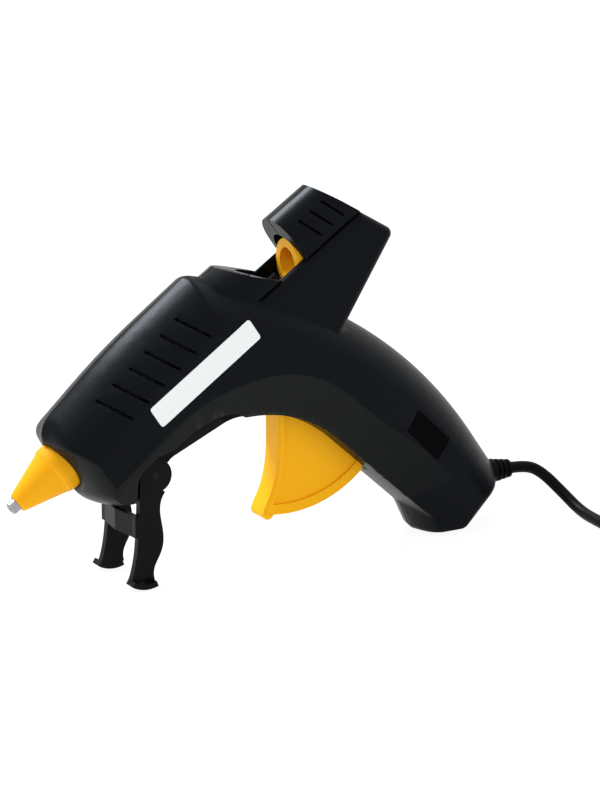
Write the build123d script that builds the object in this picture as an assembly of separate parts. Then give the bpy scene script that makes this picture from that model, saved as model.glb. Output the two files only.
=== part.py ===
from build123d import *

import os
from math import atan, atan2, cos, degrees, pi, radians, sin, tan

# Hot-melt glue gun for 11 mm sticks, in millimetres.
# +Z is up, the nozzle points towards -X and the left side of the gun faces -Y.
# The gun stands on the two feet of its folding stand and on the toe of its handle, at z = 0.
# Lengths called s run along the stick's line from the front of the nozzle sleeve, and
# lengths called n stand square to it, upwards.

# ---- stick, and the straight line that it follows ----
STICK_D = 11.2
AXIS_PITCH = 34.5                 # degrees that the stick climbs towards the rear
AXIS_X = -109.6                   # front end of the nozzle sleeve
AXIS_Z = 37.5

# ---- fits ----
GAP = 0.3                         # between pieces that only lie next to each other
SLIDE_FIT = 0.4                   # round pieces that slide or swing
RUN_FIT = 0.05                    # radial, round a turning pin
STICK_FIT = 0.4                   # radial, round the stick

# ---- housing ----
NOSE_W = 44.0                     # width of the housing at the nose
HEEL_W = 33.0                     # and at the heel
WALL = 2.2
CROWN_SLOPE = 0.2                 # the back falls from its seam at this slope
ROUND_DROP = 14.0                 # and rounds over by this much more on its way to the flank
BAND_DEPTH = 5.0                  # how far the lower band slants inwards
NOSE_X = -70.0                    # where the two widths are measured
HEEL_X = 105.0

SOLE_CUT = 0.5                    # the handle's crowned sole is cut off flat this far up

# Corners of the side outline: x, z, corner radius, and how much of the rounding
# the side that starts there takes.
OUTLINE = [
    (-101.2, 65.0, 9.0, 1.0),     # top of the nose
    (-70.3, 94.6, 300.0, 1.0),    # the barrel's top bulges a little
    (-35.7, 120.5, 6.0, 1.0),     # highest point, where barrel and back meet
    (55.5, 101.2, 194.0, 1.0),    # the back strap is one long arc
    (113.0, 19.5, 8.0, 0.4),      # heel
    (93.0, -SOLE_CUT, 8.0, 0.16),     # rear end of the sole
    (70.7, -SOLE_CUT, 4.0, 0.5),      # toe
    (64.0, 13.5, 6.0, 0.16),      # lower end of the front strap
    (9.2, 62.3, 61.0, 0.16),      # arch over the trigger
    (-21.0, 62.3, 20.0, 0.16),    # front end of the arch
    (-48.0, 49.8, 6.0, 0.16),     # keel
    (-74.1, 22.3, 17.0, 0.5),     # round bottom of the nose
]
SOFT_CORNER = 0.4                 # a corner of the back grows this much rounder as it moves in
SECTION_ANGLES = (0, 30, 55, 75, 90)   # the form's sections, round the back from seam to flank
SEAM_W = 0.22                     # half width of the parting groove
SEAM_DEPTH = 0.35
CREASE_STEP = 0.2                 # the band's upper edge starts this far outside the flank

# The crease over the lower band on the flank, and the lower edge of the band.
CREASE = [(-96, 26), (-76, 46), (-57.9, 60.4), (-43.2, 70.9), (-24.5, 78.2), (-6, 81), (8, 79.5),
          (22, 73.5), (40.6, 59.0), (71.7, 35.1), (87, 17), (97, -6)]
BAND_FOOT = [(-90, 12), (-74, 25), (-60, 33), (-47, 45), (-23, 57), (-6, 59), (6, 57), (19, 50),
             (34, 37), (60, 10), (64, -2), (70, -20)]

# Slots in the flank of the barrel, from (s, n) at the top to (s, n) at the foot.
SLOT_COUNT = 6
SLOT_PITCH = (-8.9, -0.75)
SLOT_TOP = (91.2, 20.8)
SLOT_FOOT = (97.0, 8.2)
SLOT_W = 1.2
SLOT_DEPTH = 1.3

# ---- tower over the stick's line ----
TUBE_TOP = 20.7                   # the round tube reaches this n
TUBE_HALF = 12.5
GROOVE_N = 1.8                    # where the round tube meets the flat web under it
GROOVE_H = 1.0                    # the groove along the foot of the tube
GROOVE_DEPTH = 0.8
WEB_HALF = 13.3
MOUTH_S = 136.3                   # the open gap in the tube starts here, at n = GROOVE_N
MOUTH_LEAN = 0.894                # and its front edge leans forward by this much for each n
TOWER_FRONT = 149.6               # the gap ends here, square to the stick
BACK_S = 180.1                    # the tower's back end at n = GROOVE_N
BACK_LEAN = 0.487
BACK_WALL = 3.4                   # end wall of the tower, which guides the stick
WEB = [(118.0, GROOVE_N), (BACK_S, GROOVE_N), (188.3, -15.0), (120.0, -45.0)]
WEB_R = 3.0
WEB_ROUND = 3.5                   # rounding of the tower's rear edges
CHANNEL_HALF = 9.7                # the way of the carriage, round below
CHANNEL_TOP = 12.4
CHANNEL_START = 118.0
TOWER_SLOT_COUNT = 3
TOWER_SLOT_PITCH = (6.2, 0.0)
TOWER_SLOT_TOP = (156.6, 16.0)
TOWER_SLOT_FOOT = (160.8, 5.2)

# ---- nozzle, and the heater behind it ----
SLEEVE_TIP_R = 4.1
SLEEVE_R = 10.4
SLEEVE_END = 24.4
SLEEVE_SHOULDER = 17.6            # where the cone rounds over into its collar
NOSE_GAP = 0.9                    # round the sleeve, where it enters the housing
NOSE_SEAT = 25.5                  # floor of the hole in the nose
SEAT_T = 2.0
TIP_OUT = 3.6                     # bare metal in front of the sleeve
TIP_R = 2.7
ORIFICE_D = 2.0
NOZZLE_R = 5.6
NOZZLE_HEX = 14.0
HEX_R = NOZZLE_HEX / 2 / cos(radians(30))
HEX_START = 25.2
THREAD_R = 5.0
THREAD_END = 41.0
NOZZLE_BORE = 3.0
CHAMBER_START = 31.0
CHAMBER_END = 80.0
CHAMBER_R = 9.5
SPIGOT_R = 7.6
SPIGOT_L = 9.0
POCKET_S = (40.0, 64.0)           # the heater pocket under the melt chamber
POCKET_HALF = 7.4
HEATER_T = 2.6
PLATE_T = 0.5
HEATER_N = -13.8                  # middle of the heater
POCKET_WALL = 2.2
TAB_END = 72.0
TERMINAL_L = 5.0
WIRE_R = 0.9
WIRE_ROUTE = [(75.0, 33.0), (71.0, 53.0), (52.0, 74.0), (28.0, 82.0), (5.0, 85.5), (-13.0, 81.0)]
INLET_R = 9.4
INLET_END = 103.0
RIB_T = 2.0
CHAMBER_RIBS = (34.5, 72.0)
CHAMBER_RIB_N = 22                # how far the ribs reach above and below the stick's line
INLET_RIB = 97.0
INLET_RIB_N = 17
CHANNEL_RIB = 130.0
CHANNEL_RIB_N = 14
RIB_IN = 4                        # the ribs stay this far from the seam

# ---- feed: carriage, clamp, trigger and spring ----
CARRIAGE_START = 117.5
CARRIAGE_END = 166.0
CARRIAGE_R = 9.3
CARRIAGE_BORE = STICK_D / 2 + STICK_FIT
CARRIAGE_TOP = -2.5
CLAMP_S = 146.0                   # the clamp's slanted front edge at n = 0
CLAMP_LEAN = 0.55
CLAMP_FLOOR = -7.6                # flat underside of the clamp
CLAMP_END = 164.5
PIN_S = 120.5                     # cross pins of the carriage, at rest
PIN_N = -7.0
PIN_R = 2.0
PIN_HALF = 12.4
TRIGGER_X = 4.0
TRIGGER_Z = 71.0
TRIGGER_HALF = 6.3
TRIGGER_WEB = 5.2
HUB_R = 5.0
HUB_HALF = 12.2
ARM_T = 2.4
ARM_FIT = 0.4                     # each side of the carriage's pin in the arm's slot
ARM_PAST = 0.8                    # the arm ends this far past the pin, under the roof
TRIGGER_FRONT = [(3.0, 72.0), (3.4, 60.0), (3.5, 50.0), (3.3, 42.0), (2.2, 34.0), (0.3, 27.4), (-2.3, 22.0),
                 (-3.5, 19.2)]
TRIGGER_TOE = (0.7, 16.8)
RIM_CENTRE = (7.0, 70.0)
RIM_R = 52.3
RIM_TOE = -95.8                   # directions of the two ends of the rim, in degrees
RIM_HEEL = -46.8
SLOT_TRAVEL = 3.2
FLANGE_ROUND = 1.9
FLANGE_T = 2.6                    # the finger flange, seen from the side
RIM_T = 4.2
TRIGGER_WINDOW = [(-5.6, 66), (-5.6, 30), (38, 10), (45.2, 31), (48, 60)]
TRIGGER_PIN_R = 2.0
TRIGGER_PIN_HALF = 15.0
SPRING_R = 2.4
SPRING_WIRE = 0.7
SPRING_N = -13.2
SPRING_FRONT = 150.0              # the spring's two loops
SPRING_BACK = 174.0
LOOP_R = 1.5

# ---- stand ----
STAND_X = -57.0
STAND_Z = 45.0
STAND_HALF = 15.4                 # outer face of each leg
STAND_T = 3.0
STAND_HEAD_R = 7.0
STAND_AXLE_R = 1.5
FOOT_OUT = 3.2                    # the sole reaches this far outside the leg
SOLE_X = -62.6                    # middle of the sole's curve
SOLE_R = 13.0
SOLE_T = 2.2
SOLE_FROM = -121                  # the curve's start and its sweep, in degrees
SOLE_SWEEP = 52
LEG_FRONT = [(-63.6, 47.0), (-64.3, 34.0), (-65.0, 21.0), (-66.2, 11.0), (-68.6, 2.4)]
LEG_BACK = [(-58.0, 2.6), (-57.9, 8.0), (-54.9, 14.0), (-54.0, 21.0), (-55.3, 31.0), (-53.0, 38.0)]
PLATE_Z = (20.7, 29.4)            # the plate between the legs, and its bent plan
PLATE_FRONT = -66.3
PLATE_BACK = -63.9
PLATE_BEND = 1.5
RECESS = [(-67, 46), (-64, 50.5), (-58, 54), (-50, 56), (-41, 62), (-32, 66), (-22, 66.5),
          (-16, 63), (-14, 50), (-45, 30), (-67, 25)]

# ---- fasteners: x, z of each housing screw, and where its head sits ----
SCREWS = [(-73.5, 38.6, 12.0), (-67.6, 86.0, 12.0), (-31.0, 62.6, 8.0), (24.0, 91.0, 12.0),
          (66.0, 46.5, 12.0), (81.0, 13.0, 11.0), (36.2, 113.1, 8.0)]
BOSS_R = 3.9
SCREW_R = 1.3
SCREW_HEAD_R = 2.6
SCREW_HEAD_T = 1.8
SCREW_L = 16.0

# ---- cord, and where it enters the heel ----
CORD_D = 5.0
CORD_Z = 19.5
BOOT_R = 5.2
BOOT_NECK_R = 3.4
BOOT_FLANGE_R = 4.6
BOOT_FLANGE_T = 2.0
BOOT_END = 120.0
HEEL_FACE = 108.5                 # the boot's outer collar sits on this face of the heel
BOOT_PITCH = 2.6
BOOT_RIBS = [(4.8, 3.9), (4.4, 3.6), (4.0, 3.4)]
HEEL_GRIP = 3.0                   # wall held between the boot's two collars
TAIL_START = 88.0
CLAMP_X = 96.0
CLAMP_W = 6.0
CLAMP_T = 3.0
CLAMP_SPREAD = 6.8                # each clamp screw from the cord's centre
CLAMP_SCREW_R = 1.2
CLAMP_SCREW_L = 10
CLAMP_HEAD_R = 2.4

# ---- the cord outside: its route, its coil and its plug ----
CORD_ROUTE = [(129.0, 0.0, 19.5), (135.5, -2.5, 16.0), (140.5, -9.5, 9.0), (142.5, -22.0, 2.5),
              (140.5, -38.0, 2.5), (140.0, -53.0, 2.5), (146.5, -69.0, 2.5), (161.0, -78.5, 2.5),
              (179.0, -77.5, 2.5)]
COIL_X, COIL_Y = 181.0, -46.0
COIL_R = 26.0                     # middle of the turns
COIL_SIDE = 3 * CORD_D            # the bundle is three turns wide and three high
PLUG_OFF = 15.0                   # the plug's line, right of the coil's centre
PLUG_START = -7.0                 # rear end of the plug, from the coil's centre
LEAD_R = 20.0
LEAD_RISE = (12.5, 14.2, 18.2)
PLUG_W = 35.3
PLUG_H = 13.7
RELIEF_L = 10.0
RELIEF_R = 4.2
PLUG_L = 34.0
PIN_D = 4.0
PIN_L = 19.0
PIN_SPREAD = 9.3
FREE_CORD = ("power_cord", "cord_coil", "plug_lead", "plug_body", "plug_pins")

# ---- label and badge on the left flank ----
LABEL_S = 86.6
LABEL_N = -1.4
LABEL_L = 54.0
LABEL_W = 9.7
LABEL_T = 0.25
BADGE = [(63.1, 56.6), (78.4, 42.2), (72.3, 33.7), (57.2, 48.6)]
BADGE_DEPTH = 0.9
BADGE_T = 0.7

AXIS_DIR = Vector(cos(radians(AXIS_PITCH)), 0, sin(radians(AXIS_PITCH)))
AXIS_UP = Vector(-AXIS_DIR.Z, 0, AXIS_DIR.X)
SIDE = Plane.XZ                                   # normal towards -Y, the left side
AXIS_SIDE = Plane(origin=(AXIS_X, 0, AXIS_Z), x_dir=AXIS_DIR, z_dir=(0, -1, 0))
FAR = 400.0                                       # a length past every piece


def on_axis(s, n, y=0.0):
    """The point at s along the stick's line, n above it and y to the side."""
    return Vector(AXIS_X, y, AXIS_Z) + AXIS_DIR * s + AXIS_UP * n


def across(s, n=0.0):
    """The plane square to the stick's line at s: its X is +Y, its Y is n."""
    return Plane(origin=on_axis(s, n), x_dir=(0, 1, 0), z_dir=AXIS_DIR)


def slab(face, y_low, y_high, plane=SIDE):
    """A side-view face made solid between two values of y."""
    return extrude(plane.offset(-y_high) * face, y_high - y_low, dir=plane.z_dir)


def rod(x, z, radius, y_low, y_high):
    """A round bar across the gun."""
    return slab(Pos(x, z) * Circle(radius), y_low, y_high)


def turned(points):
    """A ring turned about the stick's line from points (s, radius)."""
    face = make_face(AXIS_SIDE * Polyline(*points, close=True))
    return revolve(face, Axis(on_axis(0, 0), AXIS_DIR))


def along_x(points):
    """A ring turned about the cord's line at the heel from points (x, radius)."""
    face = make_face(Plane.XZ * Polyline(*[(x, CORD_Z + r) for x, r in points], close=True))
    return revolve(face, Axis((0, 0, CORD_Z), (1, 0, 0)))


def moved_corner(before, here, after, shift_in, shift_out):
    """Where two sides of a clockwise outline meet once each is moved inwards."""
    a, b, c = (Vector(p[0], p[1]) for p in (before, here, after))
    d_in, d_out = (b - a).normalized(), (c - b).normalized()
    p = b + Vector(d_in.Y, -d_in.X) * shift_in
    q = b + Vector(d_out.Y, -d_out.X) * shift_out
    turn = d_in.X * d_out.Y - d_in.Y * d_out.X
    t = ((q.X - p.X) * d_out.Y - (q.Y - p.Y) * d_out.X) / turn
    return p + d_in * t, turn < 0


def rounded_loop(points, radii, plane):
    """A closed face of straight sides and tangent arcs, one radius for each corner."""
    edges, ends = [], []
    for i, here in enumerate(points):
        before, after = points[i - 1], points[(i + 1) % len(points)]
        back, ahead = (before - here).normalized(), (after - here).normalized()
        half = radians(back.get_angle(ahead)) / 2
        reach = radii[i] / tan(half)
        middle = here + (back + ahead).normalized() * (radii[i] / sin(half) - radii[i])
        ends.append((here + back * reach, middle, here + ahead * reach))
    for i, arc in enumerate(ends):
        start, middle, end = (plane.from_local_coords(p) for p in arc)
        edges.append(ThreePointArc(start, middle, end))
        edges.append(Line(end, plane.from_local_coords(ends[(i + 1) % len(ends)][0])))
    return Face(Wire(edges))


def rounded(points, radii, plane=Plane.XY):
    return rounded_loop([Vector(*p) for p in points], radii, plane)


def flank_plane(y):
    """The upright plane at y to the left at the nose, which closes in towards the heel."""
    tilt = atan(y * (1 - HEEL_W / NOSE_W) / (HEEL_X - NOSE_X))
    x_dir = Vector(cos(tilt), sin(tilt), 0)
    return Plane(origin=Vector(NOSE_X, -y, 0) - x_dir * NOSE_X, x_dir=x_dir,
                 z_dir=Vector(sin(tilt), -cos(tilt), 0))


def outline_face(y, inset, share):
    """The side outline at y to the left, each side moved in by inset and its part of share."""
    points, radii = [], []
    for i, here in enumerate(OUTLINE):
        before, after = OUTLINE[i - 1], OUTLINE[(i + 1) % len(OUTLINE)]
        shift_in = inset + share * before[3]
        shift_out = inset + share * here[3]
        point, convex = moved_corner(before, here, after, shift_in, shift_out)
        mean = (shift_in + shift_out) / 2
        soft = SOFT_CORNER * share * min(before[3], here[3])
        points.append(point)
        radii.append(max(here[2] - mean, 1.0 + soft) if convex else here[2] + mean)
    return rounded_loop(points, radii, flank_plane(y))


def band_cut(inset):
    """What the slanted lower band takes off the left flank."""
    faces = []
    for curve, depth in ((CREASE, -CREASE_STEP), (BAND_FOOT, BAND_DEPTH)):
        plane = flank_plane(NOSE_W / 2 - depth - inset)
        path = Spline(*[plane.from_local_coords((x, z)) for x, z in curve])
        ends = [plane.from_local_coords(p)
                for p in ((curve[-1][0], -40), (curve[0][0], -40), curve[0])]
        edges = [path, Line(path @ 1, ends[0]), Line(ends[0], ends[1]), Line(ends[1], ends[2])]
        faces.append(Face(Wire(edges)))
    return loft(faces, ruled=True)


def half_form(inset):
    """The left half of the housing's outer form, or of the same form further in."""
    sections = []
    for angle in SECTION_ANGLES:
        y = (NOSE_W / 2 - inset) * sin(radians(angle))
        share = CROWN_SLOPE * y + (ROUND_DROP - inset) * (1 - cos(radians(angle)))
        sections.append(outline_face(y, inset, share))
    return loft(sections) - band_cut(inset)


# ---------------------------------------------------------------- housing

def side_mark(top, foot, width, pitch, count):
    """Slots seen from the side, from (s, n) to (s, n), repeated along the stick's line."""
    shapes = Part()
    run = Vector(*foot) - Vector(*top)
    turn = degrees(atan2(run.Y, run.X))
    for k in range(count):
        middle = (Vector(*top) + Vector(*foot)) / 2 + Vector(*pitch) * k
        slot = Pos(middle.X, middle.Y) * Rot(0, 0, turn) * SlotOverall(run.length, width)
        shapes += slab(slot, -FAR / 2, 0, AXIS_SIDE)
    return shapes


def side_area(points):
    """A side-view polygon in s and n, made solid right through the gun."""
    return slab(make_face(Polyline(*points, close=True)), -FAR / 2, FAR / 2, AXIS_SIDE)


def ahead_of_back(inset):
    """Everything in front of the tower's slanted back end, moved in by inset."""
    low, high = -60.0, 60.0
    return side_area([(0, low), (BACK_S - inset - BACK_LEAN * (low - GROOVE_N), low),
                      (BACK_S - inset - BACK_LEAN * (high - GROOVE_N), high), (0, high)])


def tube_gap(inset):
    """The open gap in the tube where the stick and the clamp can be seen."""
    edge = MOUTH_S - inset * (1 + MOUTH_LEAN ** 2) ** 0.5
    high = 60.0
    return side_area([(edge, GROOVE_N), (TOWER_FRONT + inset, GROOVE_N),
                      (TOWER_FRONT + inset, high), (edge - MOUTH_LEAN * (high - GROOVE_N), high)])


def tube(inset, back):
    """The round tube over the stick, moved in by inset, and by back at the tower's back end."""
    half = TUBE_HALF - inset
    spring = TUBE_TOP - TUBE_HALF
    section = Pos(0, spring) * Circle(half)
    section += Pos(0, (spring + GROOVE_N) / 2) * Rectangle(2 * half, spring - GROOVE_N)
    for way in (-1, 1):
        section -= Pos(way * TUBE_HALF, GROOVE_N + GROOVE_H / 2) * Rectangle(2 * GROOVE_DEPTH, GROOVE_H)
    whole = extrude(across(CHANNEL_START - 20) * section, FAR / 2)
    return whole & ahead_of_back(back) - tube_gap(inset)


def web(half, inset):
    """The flat web under the tube."""
    face = rounded(WEB, [1.0, 1.0, WEB_R, 1.0])
    if inset:
        return slab(offset(face, -inset), -half, half, AXIS_SIDE)
    body = slab(face, -half, half, AXIS_SIDE)
    rear_edges = body.edges().sort_by(SortBy.LENGTH)[-2:]
    return fillet(rear_edges, WEB_ROUND)


def channel():
    """The straight way of the carriage, open above."""
    length = BACK_S - CHANNEL_START + 20
    low = extrude(across(CHANNEL_START) * Circle(CHANNEL_HALF), length)
    arch = CHANNEL_TOP - CHANNEL_HALF
    high = extrude(across(CHANNEL_START, arch) * Circle(CHANNEL_HALF), length)
    between = Pos(0, arch / 2) * Rectangle(2 * CHANNEL_HALF, arch)
    return (low + high + extrude(across(CHANNEL_START) * between, length)) & ahead_of_back(BACK_WALL)


def trigger_window():
    """Where the trigger passes through the arch and the front strap."""
    half = TRIGGER_HALF + SLIDE_FIT
    return slab(make_face(Polyline(*TRIGGER_WINDOW, close=True)), -half, half)


def recess(floor):
    """The pockets that the legs of the stand fold into."""
    face = rounded(RECESS, [2, 3, 4, 6, 8, 6, 4, 4, 1, 1, 1])
    return slab(face, -FAR / 2, -floor) + slab(face, floor, FAR / 2)


def rib(s, half_n, y_in, hole):
    """A cross wall at s with a round seat, on both sides of the gun."""
    plate = Rectangle(FAR / 4, 2 * half_n) - Rectangle(2 * y_in, 4 * half_n) - Circle(hole)
    return extrude(across(s) * plate, RIB_T)


def left_form():
    """The left half's outer shape, tower and all."""
    upper = tube(0, 0) + web(WEB_HALF, 0)
    return half_form(0) + split(upper, Plane.XZ, keep=Keep.TOP)


def left_hollow():
    room = half_form(WALL) - recess(STAND_HALF - STAND_T - GAP - WALL)
    upper = tube(WALL, BACK_WALL) + channel() + web(CHANNEL_HALF, WALL)
    return room + split(upper, Plane.XZ, keep=Keep.TOP)


def seam_groove():
    """The shallow groove along the outer edge where the two halves meet."""
    inner = half_form(SEAM_DEPTH) + tube(SEAM_DEPTH, SEAM_DEPTH) + web(WEB_HALF, SEAM_DEPTH)
    return slab(Rectangle(2 * FAR, 2 * FAR), -SEAM_W, SEAM_W) - inner


def cord_way():
    """The seat of the cord's boot in the heel, with a pocket for each of its collars."""
    inside = HEEL_FACE - HEEL_GRIP
    neck = [(inside - 20, 0), (inside - 20, BOOT_FLANGE_R + RUN_FIT), (inside, BOOT_FLANGE_R + RUN_FIT),
            (inside, BOOT_NECK_R + RUN_FIT), (HEEL_FACE, BOOT_NECK_R + RUN_FIT),
            (HEEL_FACE, BOOT_R + RUN_FIT), (HEEL_FACE + 20, BOOT_R + RUN_FIT), (HEEL_FACE + 20, 0)]
    return along_x(neck)


def nose_way():
    """The round opening in the nose, down to its seat, and the nozzle's hole in that."""
    wide = extrude(across(-20) * Circle(SLEEVE_R + NOSE_GAP), 20 + NOSE_SEAT)
    return wide + extrude(across(0) * Circle(HEX_R + GAP), CHAMBER_START)


def housing_seats():
    """Bosses and cross walls inside the left half."""
    seats = Part()
    for x, z, _ in SCREWS:
        seats += rod(x, z, BOSS_R, -FAR / 4, 0)
    seats += rod(TRIGGER_X, TRIGGER_Z, TRIGGER_PIN_R + WALL, -FAR / 4, -HUB_HALF - GAP)
    seats += rod(STAND_X, STAND_Z, STAND_AXLE_R + WALL, -FAR / 4, 0)
    for s in CHAMBER_RIBS:
        seats += rib(s, CHAMBER_RIB_N, RIB_IN, CHAMBER_R + RUN_FIT)
    seats += rib(INLET_RIB, INLET_RIB_N, RIB_IN, INLET_R + RUN_FIT)
    below = side_area([(0, 0), (FAR, 0), (FAR, -60), (0, -60)])
    seats += rib(CHANNEL_RIB, CHANNEL_RIB_N, RIB_IN / 2, CHANNEL_HALF) & below
    collar = Circle(SLEEVE_R + NOSE_GAP + WALL) - Circle(HEX_R + GAP)
    seats += extrude(across(0) * collar, NOSE_SEAT + SEAT_T)
    seats += spring_post()
    start = HEEL_FACE - HEEL_GRIP
    seats += along_x([(start, 0), (start, BOOT_R + WALL), (HEEL_FACE + 5, BOOT_R + WALL), (HEEL_FACE + 5, 0)])
    return seats


def left_shell():
    """What both halves have in common, drawn as the left one."""
    hollow = left_hollow()
    shell = left_form() - hollow + split(housing_seats() & hollow, Plane.XZ, keep=Keep.TOP)
    shell -= Pos(0, 0, -FAR / 2) * Box(2 * FAR, 2 * FAR, FAR)
    shell -= nose_way()
    shell -= recess(STAND_HALF - STAND_T - GAP)
    shell -= trigger_window()
    shell -= cord_way()
    shell -= rod(TRIGGER_X, TRIGGER_Z, TRIGGER_PIN_R + RUN_FIT, -TRIGGER_PIN_HALF - 0.2, 0)
    shell -= rod(STAND_X, STAND_Z, STAND_AXLE_R + RUN_FIT, -STAND_HALF, 0)
    shell -= extrude(across(BACK_S - 40) * Circle(STICK_D / 2 + STICK_FIT), 100)
    shell -= side_mark(SLOT_TOP, SLOT_FOOT, SLOT_W, SLOT_PITCH, SLOT_COUNT) - half_form(SLOT_DEPTH)
    marks = side_mark(TOWER_SLOT_TOP, TOWER_SLOT_FOOT, SLOT_W, TOWER_SLOT_PITCH, TOWER_SLOT_COUNT)
    shell -= marks - tube(SLOT_DEPTH, SLOT_DEPTH)
    return shell - seam_groove()


def spring_post():
    """A peg across the tower's web that holds the rear loop of the spring."""
    place = on_axis(SPRING_BACK, SPRING_N)
    return rod(place.X, place.Z, LOOP_R - SPRING_WIRE / 2 - RUN_FIT, -FAR / 4, 0)


def badge_area(grow, t):
    """The slanted badge on the left flank, from its seat outwards."""
    face = rounded(BADGE, [1.2] * 4)
    plane = flank_plane(NOSE_W / 2 - BADGE_DEPTH)
    return extrude(plane * (offset(face, grow) if grow else face), t, dir=plane.z_dir)


def clamp_posts():
    """The saddle and the two posts of the cord clamp, on the left half."""
    seat = slab(Pos(CLAMP_X, CORD_Z) * Rectangle(CLAMP_W, CORD_D), -FAR / 4, -CORD_D / 2)
    for way in (-1, 1):
        seat += rod(CLAMP_X, CORD_Z + way * CLAMP_SPREAD, CLAMP_SCREW_R + 1.8, -FAR / 4, CORD_D / 2 - GAP)
    return seat & (half_form(WALL / 2) + slab(Pos(CLAMP_X, CORD_Z) * Rectangle(20, 40), -1, 10))


def left_housing(shell):
    shell += clamp_posts()
    for way in (-1, 1):
        shell -= rod(CLAMP_X, CORD_Z + way * CLAMP_SPREAD, CLAMP_SCREW_R, -8, FAR / 4)
    for x, z, seat in SCREWS:
        shell -= rod(x, z, SCREW_R, seat - SCREW_L - 1, 0)
    return shell - badge_area(0.15, 5)


def right_housing(shell):
    shell = mirror(shell, Plane.XZ)
    for x, z, seat in SCREWS:
        shell -= rod(x, z, SCREW_R + 0.15, 0, FAR / 4)
        shell -= rod(x, z, SCREW_HEAD_R + GAP, seat, FAR / 4)
    return shell


def pan_screw(x, z, seat, length, radius, head):
    """A screw whose head rests at y = seat and whose shank points to the left."""
    shank = rod(x, z, radius, seat - length, seat)
    top = rod(x, z, head, seat, seat + SCREW_HEAD_T)
    top = fillet(top.faces().sort_by(Axis.Y)[-1].edges(), 0.6)
    cross = Rectangle(2.4, 0.6) + Rectangle(0.6, 2.4)
    return shank + top - slab(Pos(x, z) * cross, seat + SCREW_HEAD_T - 0.9, seat + FAR)


def housing_screws():
    return [pan_screw(x, z, seat, SCREW_L, SCREW_R, SCREW_HEAD_R) for x, z, seat in SCREWS]


# ---------------------------------------------------------------- nozzle and heater

def nozzle_tip():
    bore = ORIFICE_D / 2
    body = turned([(-TIP_OUT, bore), (-TIP_OUT, TIP_R - 0.7), (0.7 - TIP_OUT, TIP_R), (1, TIP_R),
                   (12, NOZZLE_R), (HEX_START, NOZZLE_R), (THREAD_END, THREAD_R),
                   (THREAD_END, NOZZLE_BORE), (4, NOZZLE_BORE * 0.6), (1, bore)])
    body &= turned([(-TIP_OUT, 0), (-TIP_OUT, 20), (HEX_START, 20), (HEX_START, THREAD_R),
                    (THREAD_END, THREAD_R), (THREAD_END, 0)])
    nut = extrude(across(HEX_START) * RegularPolygon(HEX_R, 6), CHAMBER_START - HEX_START)
    return body + (nut - turned([(0, 0), (0, NOZZLE_BORE), (THREAD_END, NOZZLE_BORE), (THREAD_END, 0)]))


def nozzle_sleeve():
    fit = RUN_FIT
    start = SLEEVE_TIP_R
    return turned([(0, TIP_R + fit), (0, start - 0.5), (0.5, start), (SLEEVE_SHOULDER, SLEEVE_R - 1.0),
                   (SLEEVE_SHOULDER + 1.2, SLEEVE_R - 0.3), (SLEEVE_SHOULDER + 2.8, SLEEVE_R),
                   (SLEEVE_END, SLEEVE_R), (SLEEVE_END, NOZZLE_R + fit), (12, NOZZLE_R + fit),
                   (1, TIP_R + fit)])


def melt_chamber():
    bore = STICK_D / 2 + GAP
    body = turned([(CHAMBER_START, THREAD_R), (CHAMBER_START, CHAMBER_R), (CHAMBER_END, CHAMBER_R),
                   (CHAMBER_END, SPIGOT_R), (CHAMBER_END + SPIGOT_L, SPIGOT_R),
                   (CHAMBER_END + SPIGOT_L, bore), (THREAD_END + 16, bore),
                   (THREAD_END, NOZZLE_BORE), (THREAD_END, THREAD_R)])
    pocket = HEATER_T / 2 + PLATE_T
    low, high = HEATER_N - pocket - POCKET_WALL, -bore
    s1, s2 = POCKET_S
    box = Pos((s1 + s2) / 2, (low + high) / 2) * Rectangle(s2 - s1 + 2 * POCKET_WALL, high - low)
    block = slab(box, -POCKET_HALF - POCKET_WALL, POCKET_HALF + POCKET_WALL, AXIS_SIDE)
    block = fillet(block.edges().filter_by(Axis(on_axis(0, 0), AXIS_DIR)), 1.2)
    hole = Pos((s1 + s2) / 2, HEATER_N) * Rectangle(s2 - s1 + 4 * POCKET_WALL, 2 * pocket)
    block -= slab(hole, -POCKET_HALF, POCKET_HALF, AXIS_SIDE)
    core = turned([(0, 0), (0, bore), (THREAD_END + 16, bore), (FAR, bore), (FAR, 0)])
    return body + (block - core)


def ptc_heater():
    s1, s2 = POCKET_S
    face = Pos((s1 + s2) / 2, HEATER_N) * Rectangle(s2 - s1, HEATER_T)
    return slab(face, -POCKET_HALF + GAP, POCKET_HALF - GAP, AXIS_SIDE)


def plate_n(way):
    return HEATER_N + way * (HEATER_T + PLATE_T) / 2


def heater_plates():
    """The two electrodes, each with a tab that points to the rear."""
    plates = []
    s1, s2 = POCKET_S
    for way in (-1, 1):
        face = Pos((s1 + s2) / 2, plate_n(way)) * Rectangle(s2 - s1, PLATE_T)
        tab = Pos((s2 + TAB_END) / 2, plate_n(way)) * Rectangle(TAB_END - s2, PLATE_T)
        plate = slab(face, -POCKET_HALF + GAP, POCKET_HALF - GAP, AXIS_SIDE)
        plates.append(plate + slab(tab, way * 2 - 1.5, way * 2 + 1.5, AXIS_SIDE))
    return plates


def terminals():
    """Crimped ends of the two wires, butted on the tabs."""
    ends = []
    for way in (-1, 1):
        face = Pos(TAB_END + TERMINAL_L / 2, plate_n(way)) * Rectangle(TERMINAL_L, 2.2)
        ends.append(slab(face, way * 2 - 1.5, way * 2 + 1.5, AXIS_SIDE))
    return ends


def inlet_sleeve():
    bore = STICK_D / 2 + STICK_FIT
    step = CHAMBER_END + SPIGOT_L + GAP
    start = CHAMBER_END + GAP
    return turned([(start, SPIGOT_R + RUN_FIT), (start, INLET_R), (INLET_END, INLET_R),
                   (INLET_END, bore), (step, bore), (step, SPIGOT_R + RUN_FIT)])


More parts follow.
